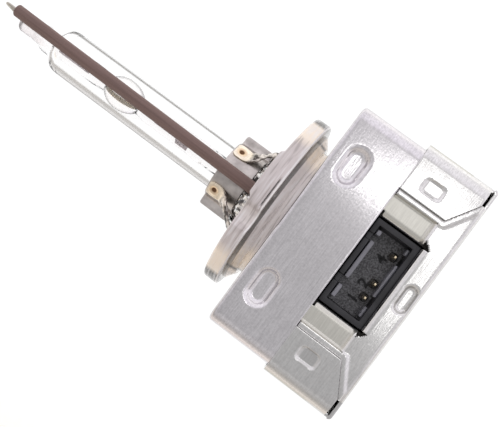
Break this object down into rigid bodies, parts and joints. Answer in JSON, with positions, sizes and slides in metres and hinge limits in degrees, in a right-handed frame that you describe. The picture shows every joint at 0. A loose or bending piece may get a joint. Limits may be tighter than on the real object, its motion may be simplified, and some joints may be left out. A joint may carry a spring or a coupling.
{
  "type": "headlight bulb",
  "caption": "Gas-discharge headlamp bulb: quartz burner on a prefocus cap ring, with a shielded igniter box and a connector socket on the back.",
  "frame": {"origin": "centre of the igniter box's flat back wall, on which the lamp lies, below the connector face", "axes": "+X along the lamp axis to the tip of the burner, +Y across the box, +Z out of the connector face"},
  "size_m": [0.0814, 0.0408, 0.0326],
  "materials": {
    "tinned_steel": "bright tinned sheet with fine rolling lines",
    "clamp_steel": "grey stainless sheet, heat-dulled",
    "strap_steel": "bright strip, brown at the spot welds",
    "bright_steel": "bright pressed metal",
    "amber_plastic": "translucent smoky amber moulding",
    "black_plastic": "satin black moulding",
    "case_plastic": "dark moulding",
    "quartz": "clear fused quartz",
    "ceramic_brown": "matte brown fired sleeve",
    "tungsten": "drawn rod",
    "molybdenum": "thin foil",
    "nickel": "drawn wire",
    "salt": "yellowish salt film",
    "gold_plate": "gold-plated pin",
    "brass": "plain brass",
    "board_laminate": "green laminate",
    "ferrite": "dark grey ferrite",
    "former_plastic": "cream moulding",
    "copper": "enamelled copper wire",
    "spark_ceramic": "white ceramic",
    "capacitor_blue": "dipped blue case",
    "resistor_body": "tan body",
    "potting": "grey-brown fill"
  },
  "bodies": {
    "root": {"arc_tube": "quartz", "outer_bulb": "quartz", "front_electrode": "tungsten", "rear_electrode": "tungsten", "front_foil": "molybdenum", "rear_foil": "molybdenum", "front_lead": "nickel", "rear_lead": "nickel", "salt_deposit": "salt", "return_wire": "nickel", "ceramic_tube": "ceramic_brown", "clamp_upper": "clamp_steel", "clamp_lower": "clamp_steel", "support_leg_1": "strap_steel", "support_leg_2": "strap_steel", "support_leg_3": "strap_steel", "support_leg_4": "strap_steel", "carrier_ring": "bright_steel", "cap_flange": "amber_plastic", "front_shield": "tinned_steel", "rear_cover": "tinned_steel", "shield_contact_spring": "brass", "igniter_housing": "case_plastic", "connector_body": "black_plastic", "contact_pin_1": "gold_plate", "contact_pin_2": "gold_plate", "contact_pin_4": "gold_plate", "circuit_board": "board_laminate", "ferrite_core": "ferrite", "coil_former": "former_plastic", "secondary_winding": "copper", "primary_winding": "copper", "spark_gap_cap_left": "bright_steel", "spark_gap_body": "spark_ceramic", "spark_gap_cap_right": "bright_steel", "storage_capacitor": "capacitor_blue", "bleed_resistor": "resistor_body", "high_voltage_terminal": "brass", "return_terminal": "brass", "potting_compound": "potting"}
  },
  "joints": []
}
